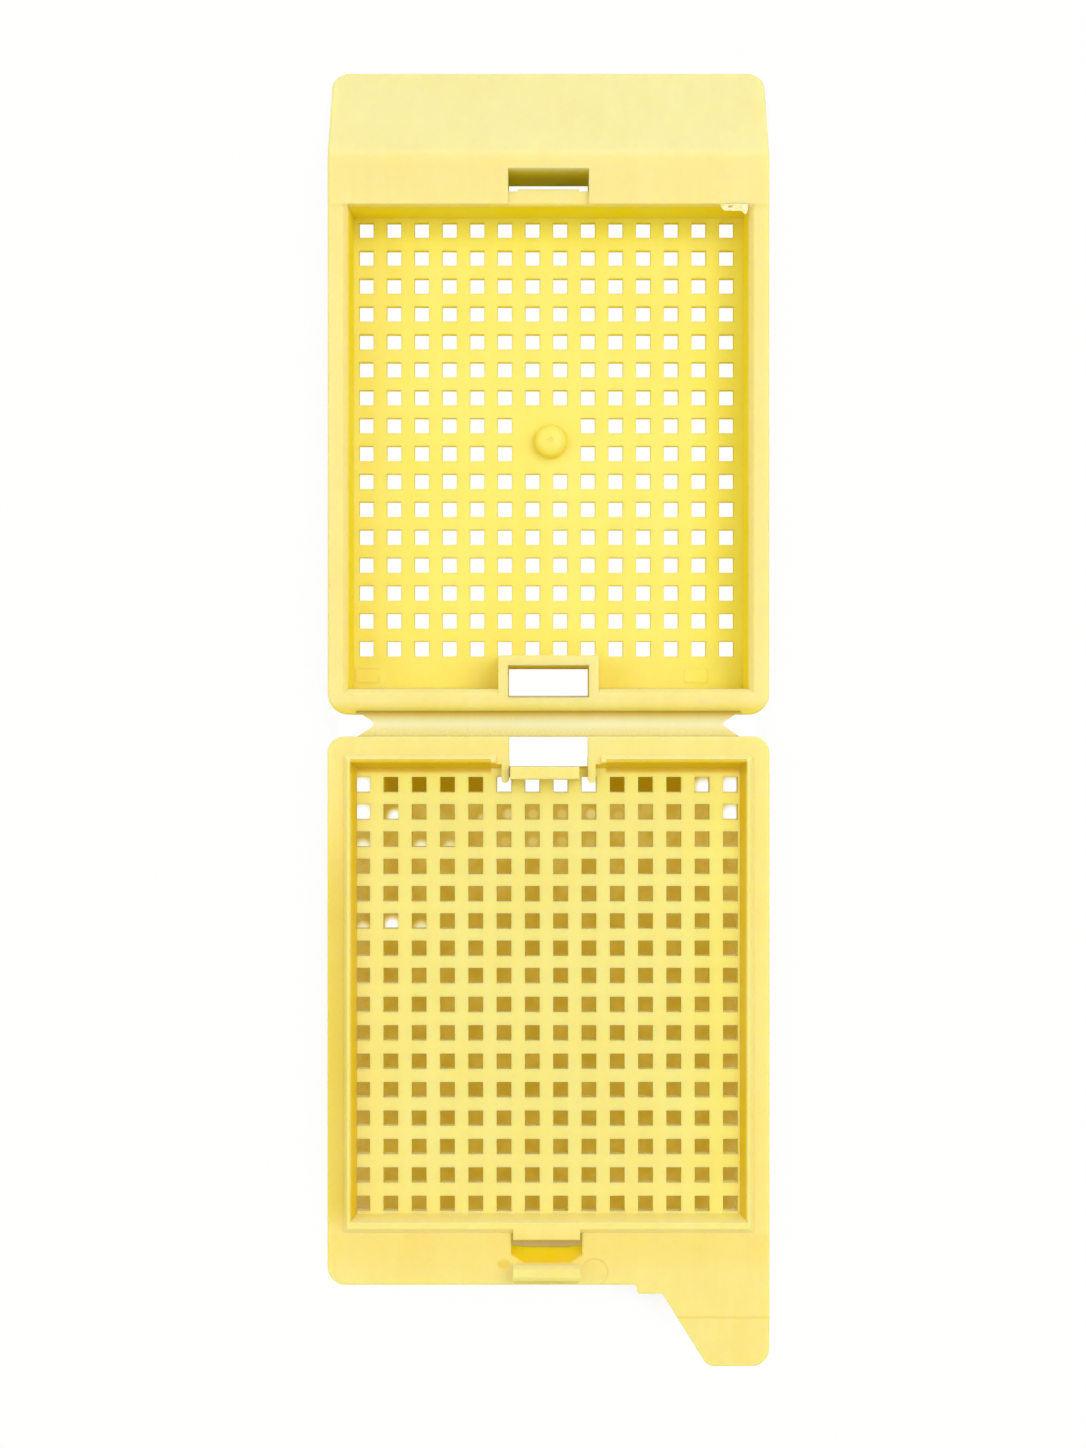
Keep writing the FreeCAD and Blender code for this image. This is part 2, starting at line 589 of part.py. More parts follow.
fillet(lid, "tab_step_inside", "tab_step_corner",
       lambda edge: lies_along(edge, ALONG_Z) and near(edge.CenterOfMass.x, "tab_inner")
       and near(edge.CenterOfMass.y, LID_FRONT), adds=1)
fillet(lid, "tab_step_outside", "tab_step_corner",
       lambda edge: lies_along(edge, ALONG_Z) and near(edge.CenterOfMass.x, "tab_inner"))
through_width(lid, "tab_slope", [
    (on_lid("lid_end + tab_crease"), "flange_top"),
    (TAB_END, "flange_top - tab_thinning"),
    (TAB_END + " - overcut", "flange_top - tab_thinning"),
    (TAB_END + " - overcut", "flange_top + overcut"),
    (on_lid("lid_end + tab_crease"), "flange_top + overcut")])
fillet(lid, "lid_outer_edges", "lid_edge",
       lambda edge: not lies_along(edge, ALONG_Z) and edge.BoundBox.ZMax > number("flange_top") - 0.3
       and edge.BoundBox.ZMin > number("flange_top - tab_thinning") - 1e-4
       and not (lies_along(edge, ALONG_X) and near(edge.CenterOfMass.y, on_lid("lid_end + tab_crease"))))

# ---- lid: shallow pan under the flange, seating ridge above it, and the well inside -----------

pad(lid, "pan", "XY_Plane", "grid_top - lid_plate", "lid_plate + lid_recess - flange / 2",
    centred("(well_width + 2 * pan_wall)", on_lid("well_end + pan_wall"),
            on_lid("well_start - pan_wall")))
pad(lid, "ridge", "XY_Plane", "flange_top", "ridge_height",
    centred("ridge_width", on_lid("ridge_end"), on_lid("ridge_start")),
    "atan(ridge_lean / ridge_height)")
pocket(lid, "well", "XY_Plane", "flange_top + ridge_height", "ridge_height + lid_recess",
       centred("well_width", on_lid("well_end"), on_lid("well_start")),
       "atan(well_lean / (ridge_height + lid_recess))", back=True)

# ---- lid: rear notch, where the ridge makes way for the base's collar, legs and rear tongue ---

pocket(lid, "ridge_gap", "XY_Plane", "flange_top", "2 * ridge_height",
       centred("(collar_width + 2 * collar_clearance)", on_lid("well_start + well_lean"),
               on_lid("ridge_start - ridge_lean")))
pocket(lid, "rear_notch", "XY_Plane", "0", "2 * parting_height",
       centred("notch_width", on_lid("notch_end"), LID_REAR + " + overcut"))
LEG_ENDS = on_lid("notch_end + leg_length")
for side, inner in (("left", "-notch_width / 2 - leg_width"), ("right", "notch_width / 2")):
    pad(lid, side + "_leg", "XY_Plane", "grid_top - lid_plate / 2", "lid_recess + lid_plate / 2",
        box(inner, inner + " + leg_width", LEG_ENDS, on_lid("well_start")))
fillet(lid, "leg_ends", "leg_rounding",
       lambda edge: lies_along(edge, ALONG_Z) and near(edge.CenterOfMass.y, LEG_ENDS))
pad(lid, "rear_tongue", "YZ_Plane", "-rear_tongue_width / 2 - rear_tongue_shift", "rear_tongue_width", [
    (on_lid("notch_end"), "grid_top - lid_plate"),
    (on_lid("notch_end"), "flange_top + rear_tongue_height"),
    (on_lid("notch_end + rear_tongue_tip"), "flange_top + rear_tongue_height"),
    (on_lid("notch_end + rear_tongue_root"), "flange_top - flange / 2"),
    (on_lid("notch_end + rear_tongue_root"), "grid_top - lid_plate")])
fillet(lid, "rear_tongue_tip", "rear_tongue_rounding",
       lambda edge: lies_along(edge, ALONG_X)
       and near(edge.CenterOfMass.z, "flange_top + rear_tongue_height"))

# ---- lid: front window with its sill, and the front tongue with its snap barb -----------------

window = lid.newObject("PartDesign::SubtractiveLoft", "window")
SIDE = "window_width / 2"
mouth = sketch_on(lid, "window_mouth", "XY_Plane", "flange_top")
polygon(mouth, [
    ("-%s - tongue_shift" % SIDE, on_lid("window_start")),
    ("-%s - tongue_shift" % SIDE, on_lid("window_side")),
    ("-%s - tongue_shift + window_bevel" % SIDE, on_lid("tongue_start")),
    ("%s - tongue_shift - window_bevel" % SIDE, on_lid("tongue_start")),
    ("%s - tongue_shift" % SIDE, on_lid("window_side")),
    ("%s - tongue_shift" % SIDE, on_lid("window_start"))])
floor = sketch_on(lid, "window_floor", "XY_Plane", "flange_top - flange")
polygon(floor, [
    ("-%s - tongue_shift" % SIDE, on_lid("window_start")),
    ("-%s - tongue_shift" % SIDE, on_lid("window_through - window_step")),
    ("-%s - tongue_shift + window_bevel" % SIDE, on_lid("window_through")),
    ("%s - tongue_shift - window_bevel" % SIDE, on_lid("window_through")),
    ("%s - tongue_shift" % SIDE, on_lid("window_through - window_step")),
    ("%s - tongue_shift" % SIDE, on_lid("window_start"))])
window.Profile = mouth
window.Sections = [floor]
window.Ruled = True
finish_feature(lid, window, -1)
pad(lid, "sill", "XY_Plane", "flange_top - flange", "flange + ridge_height",
    centred("tongue_width", on_lid("tray_end - sill_clearance"), on_lid("ridge_end - ridge_lean"),
            "tongue_shift"))
pad(lid, "front_tongue", "YZ_Plane", "-tongue_width / 2 - tongue_shift", "tongue_width", [
    (on_lid("tongue_start"), "flange_top - flange"),
    (on_lid("tongue_start"), "flange_top + tongue_height - barb_height - barb"),
    (on_lid("tongue_start - barb"), "flange_top + tongue_height - barb_height"),
    (on_lid("tongue_start"), "flange_top + tongue_height"),
    (on_lid("tongue_end - tongue_bevel"), "flange_top + tongue_height"),
    (on_lid("tongue_end"), "flange_top + tongue_height - tongue_bevel"),
    (on_lid("tongue_end"), "flange_top - flange")])
pocket(lid, "foot_groove", "XY_Plane", "flange_top - groove_depth", "flange",
       centred("groove_length", on_lid("tongue_end + groove_place + groove_width"),
               on_lid("tongue_end + groove_place"), "tongue_shift"))
MARKS = {
    "left_mark": ("-tongue_width / 2 - tongue_shift - left_mark_gap", "tongue_start", "small_mark"),
    "right_mark": ("tongue_width / 2 - tongue_shift + right_mark_gap",
                   "tongue_start + right_mark_place", "large_mark"),
}
for name, (across, along, diameter) in MARKS.items():
    pocket(lid, name, "XY_Plane", "flange_top - mark_depth", "mark_depth",
           dict(across=across, up=on_lid(along), diameter=diameter))
hole_grid(lid, "lid_front_grid", "grid_top", "lid_plate",
          on_lid("well_end - lid_front_margin"), "lid_front_pitch", "rows / 2")
hole_grid(lid, "lid_rear_grid", "grid_top", "lid_plate",
          on_lid("well_start + lid_rear_margin + (rows / 2 - 1) * lid_rear_pitch"),
          "lid_rear_pitch", "rows / 2")

# ---- check the model and write one file for each node -----------------------------------------

for thing in document.Objects:
    if {"Invalid", "Error"} & set(thing.State):
        raise RuntimeError("%s failed: %s" % (thing.Name, thing.State))

os.makedirs("parts", exist_ok=True)
for body in (base, living_hinge, lid):
    if body.Shape.isNull() or not body.Shape.isValid() or len(body.Shape.Solids) != 1:
        raise RuntimeError("%s is not one valid solid" % body.Label)
    body.Shape.exportStep("parts/%s.step" % body.Label)
    print("%-14s %8.1f mm3" % (body.Label, body.Shape.Volume))
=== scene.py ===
import json
import math

import bmesh
import bpy
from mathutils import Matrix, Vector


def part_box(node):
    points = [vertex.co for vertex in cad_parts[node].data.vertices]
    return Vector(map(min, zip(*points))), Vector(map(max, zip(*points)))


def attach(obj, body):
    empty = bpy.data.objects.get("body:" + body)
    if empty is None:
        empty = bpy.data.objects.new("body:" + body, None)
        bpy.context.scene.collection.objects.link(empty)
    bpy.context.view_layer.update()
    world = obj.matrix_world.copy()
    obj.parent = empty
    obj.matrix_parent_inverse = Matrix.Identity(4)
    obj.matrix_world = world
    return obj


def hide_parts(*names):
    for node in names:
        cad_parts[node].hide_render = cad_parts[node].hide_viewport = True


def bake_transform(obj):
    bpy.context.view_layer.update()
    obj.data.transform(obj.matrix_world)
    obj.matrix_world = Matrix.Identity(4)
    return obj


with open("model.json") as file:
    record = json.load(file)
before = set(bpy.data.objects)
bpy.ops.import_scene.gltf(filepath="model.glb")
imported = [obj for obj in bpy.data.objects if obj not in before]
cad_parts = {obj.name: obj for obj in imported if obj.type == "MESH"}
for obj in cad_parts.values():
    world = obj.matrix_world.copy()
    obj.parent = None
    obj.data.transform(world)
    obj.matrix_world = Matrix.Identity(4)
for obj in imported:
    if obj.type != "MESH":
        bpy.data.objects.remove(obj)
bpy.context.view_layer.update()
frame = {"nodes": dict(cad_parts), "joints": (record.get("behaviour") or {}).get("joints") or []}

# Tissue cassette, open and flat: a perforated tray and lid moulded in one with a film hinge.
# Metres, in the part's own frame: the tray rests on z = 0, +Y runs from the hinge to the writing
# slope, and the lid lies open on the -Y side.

MM = 0.001

# ---- base tray -------------------------------------------------------------------------------
# The base is a shallow tray with a grid of square holes in its floor and a solid writing slope in
# front, moulded in opaque yellow acetal that is satin on its faces. Its colour carries painted light:
# a paler slope facing the lamp, painted shade down inside the tray and painted highlights on its edges.

base = frame["nodes"]["base"]
base_low, base_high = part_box("base")
fold = frame["joints"][0]["pos_m"]
LEDGE = base_high.z
TRAY_FLOOR = 0.6 * MM
TRAY_REAR = fold[1] + 2.22 * MM
TRAY_FRONT = fold[1] + 33.05 * MM
TRAY_SIDE = 12.77 * MM
GRAIN_HEIGHT = 0.02 * MM
EDGE_ROUNDING = 0.09 * MM


def group_with(name, inputs, outputs):
    """An empty shader node group with its sockets, and its two end nodes."""
    group = bpy.data.node_groups.new(name, "ShaderNodeTree")
    for label, kind in inputs:
        group.interface.new_socket(label, in_out="INPUT", socket_type="NodeSocket" + kind)
    for label, kind in outputs:
        group.interface.new_socket(label, in_out="OUTPUT", socket_type="NodeSocket" + kind)
    return group, group.nodes.new("NodeGroupInput"), group.nodes.new("NodeGroupOutput")


def node(tree, kind, **settings):
    """A new node, with its properties and the default values of its inputs set by name."""
    made = tree.nodes.new("ShaderNode" + kind)
    for key, value in settings.items():
        if hasattr(made, key):
            setattr(made, key, value)
        else:
            made.inputs[key.replace("_", " ")].default_value = value
    return made


def sums(tree, operation, first, second=0.0):
    """A Math node on one or two values, each a socket or a number."""
    made = node(tree, "Math", operation=operation)
    for socket, value in zip(made.inputs, (first, second)):
        if isinstance(value, (int, float)):
            socket.default_value = value
        else:
            tree.links.new(value, socket)
    return made.outputs[0]


def product(tree, first, *others):
    """Several values multiplied together, each a socket or a number."""
    for other in others:
        first = sums(tree, "MULTIPLY", first, other)
    return first


def stretch(tree, value, low, high, to_low=0.0, to_high=1.0):
    """A value taken smoothly from one range to another, clamped at both ends."""
    made = node(tree, "MapRange", interpolation_type="SMOOTHSTEP")
    tree.links.new(value, made.inputs["Value"])
    for label, number in (("From Min", low), ("From Max", high), ("To Min", to_low), ("To Max", to_high)):
        made.inputs[label].default_value = number
    return made.outputs["Result"]


def between(tree, value, start, full_from, full_to, end):
    """1 along one stretch of a value, fading smoothly to 0 on both sides of it."""
    return product(tree, stretch(tree, value, start, full_from), stretch(tree, value, end, full_to))


def blend_colour(tree, share, first, second):
    """Two colours mixed by the second one's share, each a socket or four numbers."""
    made = node(tree, "Mix", data_type="RGBA")
    tree.links.new(share, made.inputs["Factor"])
    for socket, value in zip((made.inputs[6], made.inputs[7]), (first, second)):
        if isinstance(value, tuple):
            socket.default_value = value
        else:
            tree.links.new(value, socket)
    return made.outputs[2]


def placed(tree, group, **inputs):
    """A node group put into a material, each of its inputs given as a socket or a number."""
    made = tree.nodes.new("ShaderNodeGroup")
    made.node_tree = group
    for label, value in inputs.items():
        if isinstance(value, (int, float)):
            made.inputs[label].default_value = value
        else:
            tree.links.new(value, made.inputs[label])
    return made


def satin_skin_group():
    """The skin of a satin moulding: faint cloudy flow marks, and fine grain from the mould."""
    group, given, made = group_with(
        "satin_skin",
        [("Place", "Vector"), ("Colour", "Color"), ("Grain", "Float"), ("Edge", "Vector")],
        [("Colour", "Color"), ("Roughness", "Float"), ("Normal", "Vector")])
    clouds = node(group, "TexNoise", Scale=190.0, Detail=3.0, Roughness=0.55)
    group.links.new(given.outputs["Place"], clouds.inputs["Vector"])
    streaks_at = node(group, "Mapping")
    streaks_at.inputs["Scale"].default_value = (900.0, 130.0, 500.0)
    group.links.new(given.outputs["Place"], streaks_at.inputs["Vector"])
    streaks = node(group, "TexNoise", Scale=1.0, Detail=2.0)
    group.links.new(streaks_at.outputs[0], streaks.inputs["Vector"])
    cloudy = stretch(group, clouds.outputs["Fac"], 0.3, 0.7, -1.0, 1.0)
    streaky = stretch(group, streaks.outputs["Fac"], 0.3, 0.7, -1.0, 1.0)
    marks = sums(group, "ADD", product(group, cloudy, 0.010), product(group, streaky, 0.007))
    shade = node(group, "HueSaturation")
    group.links.new(given.outputs["Colour"], shade.inputs["Color"])
    group.links.new(sums(group, "ADD", marks, 0.99), shade.inputs["Value"])
    group.links.new(sums(group, "SUBTRACT", 1.0, product(group, marks, 1.6)), shade.inputs["Saturation"])
    grain = node(group, "TexNoise", Scale=7000.0, Detail=2.0, Roughness=0.6)
    group.links.new(given.outputs["Place"], grain.inputs["Vector"])
    swell = node(group, "TexNoise", Scale=700.0, Detail=1.0)
    group.links.new(given.outputs["Place"], swell.inputs["Vector"])
    height = sums(group, "ADD", grain.outputs["Fac"], product(group, swell.outputs["Fac"], 2.5))
    bump = node(group, "Bump", Distance=GRAIN_HEIGHT)
    group.links.new(height, bump.inputs["Height"])
    group.links.new(given.outputs["Grain"], bump.inputs["Strength"])
    group.links.new(given.outputs["Edge"], bump.inputs["Normal"])
    group.links.new(shade.outputs[0], made.inputs["Colour"])
    group.links.new(stretch(group, grain.outputs["Fac"], 0.2, 0.8, 0.36, 0.5), made.inputs["Roughness"])
    group.links.new(bump.outputs[0], made.inputs["Normal"])
    return group


def sunk_group():
    """How deep a point lies inside a walled box: 0 at its rim or outside it, 1 on its floor."""
    group, given, made = group_with(
        "sunk",
        [("Place", "Vector"), ("Rim", "Float"), ("Floor", "Float"), ("Side", "Float"),
         ("Rear", "Float"), ("Front", "Float")],
        [("Depth", "Float"), ("Inside", "Float")])
    parts = node(group, "SeparateXYZ")
    group.links.new(given.outputs["Place"], parts.inputs[0])
    inside = product(
        group,
        sums(group, "LESS_THAN", sums(group, "ABSOLUTE", parts.outputs["X"]), given.outputs["Side"]),
        sums(group, "GREATER_THAN", parts.outputs["Y"], given.outputs["Rear"]),
        sums(group, "LESS_THAN", parts.outputs["Y"], given.outputs["Front"]))
    below = sums(group, "SUBTRACT", given.outputs["Rim"], parts.outputs["Z"])
    whole = sums(group, "SUBTRACT", given.outputs["Rim"], given.outputs["Floor"])
    share = node(group, "Clamp")
    group.links.new(sums(group, "DIVIDE", below, whole), share.inputs[0])
    group.links.new(product(group, share.outputs[0], inside), made.inputs["Depth"])
    group.links.new(inside, made.inputs["Inside"])
    return group


satin_skin = satin_skin_group()
sunk = sunk_group()


def in_box(tree, place, rim, floor, side, rear, front):
    """How deep a place is inside one walled box, and whether it is inside it at all."""
    return placed(tree, sunk, Place=place, Rim=rim, Floor=floor, Side=side, Rear=rear, Front=front)


def rounded_edges(tree):
    """The normal with sharp edges rounded over, and how near a point is to such an edge."""
    rounded = node(tree, "Bevel", samples=4, Radius=EDGE_ROUNDING).outputs[0]
    turned = node(tree, "VectorMath", operation="DOT_PRODUCT")
    tree.links.new(rounded, turned.inputs[0])
    tree.links.new(node(tree, "NewGeometry").outputs["Normal"], turned.inputs[1])
    return rounded, stretch(tree, turned.outputs["Value"], 0.985, 0.86)


def acetal(name, top, floor, wall, corner_shade_share, tray, window, window_shade_colour, own_painted_shades):
    """Satin yellow acetal for half the moulding: painted shade down inside its walls, painted light on slope
    and edges.
    """
    material = bpy.data.materials.new(name)
    material.use_nodes = True
    tree = material.node_tree
    plastic = tree.nodes["Principled BSDF"]
    coordinates = node(tree, "TexCoord")
    place = coordinates.outputs["Object"]
    spot, facing = node(tree, "SeparateXYZ"), node(tree, "SeparateXYZ")
    tree.links.new(place, spot.inputs[0])
    tree.links.new(coordinates.outputs["Normal"], facing.inputs[0])
    in_tray = in_box(tree, place, *tray).outputs["Depth"]
    in_window = stretch(tree, in_box(tree, place, *window).outputs["Depth"], 0.02, 0.25)
    upright = stretch(tree, sums(tree, "ABSOLUTE", facing.outputs["Z"]), 0.75, 0.2)
    # Painted shade: upright faces inside the tray that turn away from +Y take the darker wall colour.
    shaded = stretch(tree, facing.outputs["Y"], 0.75, 0.3)
    walls = product(tree, upright, shaded, stretch(tree, in_tray, 0.04, 0.3))
    tray_side, tray_front = tray[2], tray[4]
    # Painted shade deepening the tray's colour near its right-hand wall and its front wall.
    near_side = stretch(tree, spot.outputs["X"], tray_side - 5.5 * MM, tray_side - 0.5 * MM)
    near_front = stretch(tree, spot.outputs["Y"], tray_front - 3.5 * MM, tray_front - 0.5 * MM)
    corner = product(tree, sums(tree, "MAXIMUM", near_side, near_front), in_tray, corner_shade_share)
    rounded, edges = rounded_edges(tree)
    # Painted light: faces turned toward +Y, such as the writing slope, are paler where they face the lamp.
    colour = blend_colour(tree, stretch(tree, facing.outputs["Y"], 0.12, 0.5), top, (0.99, 0.845, 0.375, 1))
    # Painted shade: the colour deepens toward the floor colour down inside the tray.
    colour = blend_colour(tree, stretch(tree, in_tray, 0.1, 0.8), colour, floor)
    colour = blend_colour(tree, corner, colour, (0.98, 0.85, 0.06, 1))
    colour = blend_colour(tree, walls, colour, wall)
    colour = own_painted_shades(tree, spot, facing, colour)
    # Painted shade: a deeper, saturated colour down inside the slot or window.
    colour = blend_colour(tree, in_window, colour, window_shade_colour)
    # Painted highlight: a paler colour along the rounded edges.
    colour = blend_colour(tree, product(tree, edges, 0.3), colour, (0.985, 0.89, 0.40, 1))
    skin = placed(tree, satin_skin, Place=place, Colour=colour, Grain=0.12, Edge=rounded)
    dull = sums(tree, "MAXIMUM", product(tree, walls, 0.8), in_window)
    tree.links.new(skin.outputs["Colour"], plastic.inputs["Base Color"])
    tree.links.new(sums(tree, "MAXIMUM", skin.outputs["Roughness"], dull), plastic.inputs["Roughness"])
    tree.links.new(skin.outputs["Normal"], plastic.inputs["Normal"])
    plastic.inputs["Specular IOR Level"].default_value = 0.3
    plastic.inputs["Subsurface Weight"].default_value = 0.9
    plastic.inputs["Subsurface Radius"].default_value = (0.75, 0.7, 0.07)
    plastic.inputs["Subsurface Scale"].default_value = 0.0009
    return material


def finish_node(piece, material):
    """Give a CAD node its one material."""
    piece.data.materials.clear()
    piece.data.materials.append(material)


def rear_edge_shade(tree, spot, facing, colour):
    """Painted shade: the rounded rear edge of the tray, over the film, is deeper in colour."""
    shade_near_film = stretch(tree, spot.outputs["Y"], fold[1] + 1.5 * MM, fold[1] + 0.75 * MM)
    return blend_colour(tree, shade_near_film, colour, (0.95, 0.74, 0.10, 1))


SLOT_HALF = 2.57 * MM
SLOT_REAR, SLOT_FRONT = TRAY_FRONT + 0.80 * MM, TRAY_FRONT + 2.27 * MM
# Top is the acetal's own colour; the floor, wall, corner and slot colours are painted shade.
finish_node(base, acetal(
    "base_acetal",
    top=(0.98, 0.80, 0.305, 1), floor=(0.99, 0.825, 0.18, 1), wall=(0.98, 0.78, 0.01, 1), corner_shade_share=0.6,
    tray=(LEDGE, TRAY_FLOOR, TRAY_SIDE + 0.3 * MM, TRAY_REAR - 0.6 * MM, TRAY_FRONT + 0.02 * MM),
    window=(LEDGE - 0.5 * MM, LEDGE - 2 * MM, SLOT_HALF + 0.02 * MM, SLOT_REAR, SLOT_FRONT),
    window_shade_colour=(1.0, 0.87, 0.08, 1), own_painted_shades=rear_edge_shade))

# ---- flash at the ledge -------------------------------------------------------------------------
# A ragged sliver of plastic that squeezed out of the mould at the front right corner of the tray
# and still hangs from the ledge's edge. It is paper thin, so it looks whiter than the rest.

FLASH_LEFT, FLASH_RIGHT = 10.93 * MM, 12.70 * MM
FLASH_TOP = LEDGE - 0.03 * MM
FLASH_THICKNESS = 0.06 * MM
FLASH_COLUMNS = 18
FLASH_HOLE_LEFT, FLASH_HOLE_RIGHT = 11.34 * MM, 11.79 * MM
SAME_PLACE = 0.005 * MM
FLASH_REACH = (0.13, 0.30, 0.39, 0.42, 0.43, 0.43, 0.42, 0.44, 0.46, 0.44, 0.43, 0.45, 0.44, 0.45, 0.50,
               0.60, 0.69, 0.55, 0.16)


def nothing_selected():
    """Leave edit mode and deselect every object."""
    if bpy.context.object and bpy.context.object.mode == "EDIT":
        bpy.ops.object.mode_set(mode="OBJECT")
    bpy.ops.object.select_all(action="DESELECT")


def pick_vertices(piece, picked):
    """In edit mode, select just the vertices whose place makes picked true."""
    bpy.ops.mesh.select_all(action="DESELECT")
    mesh = bmesh.from_edit_mesh(piece.data)
    for vertex in mesh.verts:
        if picked(vertex.co):
            vertex.select = True
    mesh.select_flush_mode()
    bmesh.update_edit_mesh(piece.data)


nothing_selected()
flash_middle = ((FLASH_LEFT + FLASH_RIGHT) / 2, TRAY_FRONT - 0.45 * MM, FLASH_TOP - FLASH_THICKNESS / 2)
bpy.ops.mesh.primitive_grid_add(x_subdivisions=FLASH_COLUMNS, y_subdivisions=6, size=1, calc_uvs=True,
                                location=flash_middle)
flash = bpy.context.object
flash.name = "ledge_flash"
flash.scale = (FLASH_RIGHT - FLASH_LEFT, 1.0 * MM, 1)
bpy.ops.object.transform_apply(location=True, rotation=True, scale=True)
bpy.ops.object.mode_set(mode="EDIT")
for column, reach in enumerate(FLASH_REACH):
    column_x = FLASH_LEFT + (FLASH_RIGHT - FLASH_LEFT) * column / FLASH_COLUMNS
    pick_vertices(flash, lambda place: abs(place.x - column_x) < SAME_PLACE)
    bpy.ops.transform.resize(value=(1, reach + 0.05, 1),
                             center_override=(column_x, TRAY_FRONT + 0.05 * MM, 0))
pick_vertices(flash, lambda place: FLASH_HOLE_LEFT < place.x < FLASH_HOLE_RIGHT
              and TRAY_FRONT - 0.28 * MM < place.y < TRAY_FRONT - 0.08 * MM)
bpy.ops.mesh.select_mode(type="FACE")
bpy.ops.mesh.delete(type="FACE")
bpy.ops.mesh.select_mode(type="VERT")
bpy.ops.object.mode_set(mode="OBJECT")
flash_solid = flash.modifiers.new("thickness", "SOLIDIFY")
flash_solid.thickness = FLASH_THICKNESS
flash_solid.offset = 0
bpy.ops.object.modifier_apply(modifier=flash_solid.name)
bpy.ops.object.mode_set(mode="EDIT")
bpy.ops.mesh.select_all(action="SELECT")
bpy.ops.transform.vertex_random(offset=0.015 * MM, uniform=0.6, normal=0.0, seed=4)
bpy.ops.mesh.normals_make_consistent(inside=False)
bpy.ops.object.mode_set(mode="OBJECT")
bpy.ops.object.shade_smooth_by_angle(angle=math.radians(50))


def flash_acetal():
    """Paper-thin acetal: whitish, with yellower patches where it is thicker."""
    material = bpy.data.materials.new("flash_acetal")
    material.use_nodes = True
    tree = material.node_tree
    plastic = tree.nodes["Principled BSDF"]
    place = node(tree, "TexCoord").outputs["Object"]
    patches = node(tree, "TexNoise", Scale=3200.0, Detail=3.0, Roughness=0.6)
    tree.links.new(place, patches.inputs["Vector"])
    thick = stretch(tree, patches.outputs["Fac"], 0.45, 0.65)
    tree.links.new(blend_colour(tree, thick, (0.97, 0.89, 0.55, 1), (0.96, 0.78, 0.20, 1)),
                   plastic.inputs["Base Color"])
    tree.links.new(stretch(tree, patches.outputs["Fac"], 0.3, 0.7, 0.3, 0.55), plastic.inputs["Roughness"])
    plastic.inputs["Specular IOR Level"].default_value = 0.4
    plastic.inputs["Subsurface Weight"].default_value = 0.4
    plastic.inputs["Subsurface Radius"].default_value = (1.0, 0.9, 0.5)
    plastic.inputs["Subsurface Scale"].default_value = 0.0002
    return material


flash.data.materials.append(flash_acetal())
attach(flash, "base")

# ---- lid -------------------------------------------------------------------------------------
# The lid is the same moulding's other half: a thinner flange with a finger tab, a seating ridge,
# and a well whose floor carries the same grid of holes, in the same satin acetal.

lid = frame["nodes"]["lid"]
FLANGE_TOP = fold[2] - 0.05 * MM
WELL_SIDE = 12.62 * MM
TAB_CREASE = fold[1] - 37.70 * MM
LEFT_MARK = (-2.85 * MM, fold[1] - 34.33 * MM)
RIGHT_MARK = (2.93 * MM, fold[1] - 34.83 * MM)


def from_mark(tree, spot, mark, half_width, half_length):
    """How far a place is from an ejector mark's middle: 1 on an oval of this size round it."""
    over = sums(tree, "DIVIDE", sums(tree, "SUBTRACT", spot.outputs["X"], mark[0]), half_width)
    along = sums(tree, "DIVIDE", sums(tree, "SUBTRACT", spot.outputs["Y"], mark[1]), half_length)
    return sums(tree, "SQRT", sums(tree, "ADD", product(tree, over, over), product(tree, along, along)))


def rear_wall_shadow(tree, spot, from_fold):
    """Where the painted shadow of the well's rear wall lies, beside the notch and above the floor."""
    from_middle = sums(tree, "ABSOLUTE", spot.outputs["X"])
    return product(
        tree,
        between(tree, from_fold, 2.20 * MM, 2.28 * MM, 2.90 * MM, 3.30 * MM),
        stretch(tree, spot.outputs["Z"], FLANGE_TOP - 0.96 * MM, FLANGE_TOP - 0.88 * MM),
        between(tree, from_middle, 3.55 * MM, 3.75 * MM, WELL_SIDE - 0.1 * MM, WELL_SIDE))


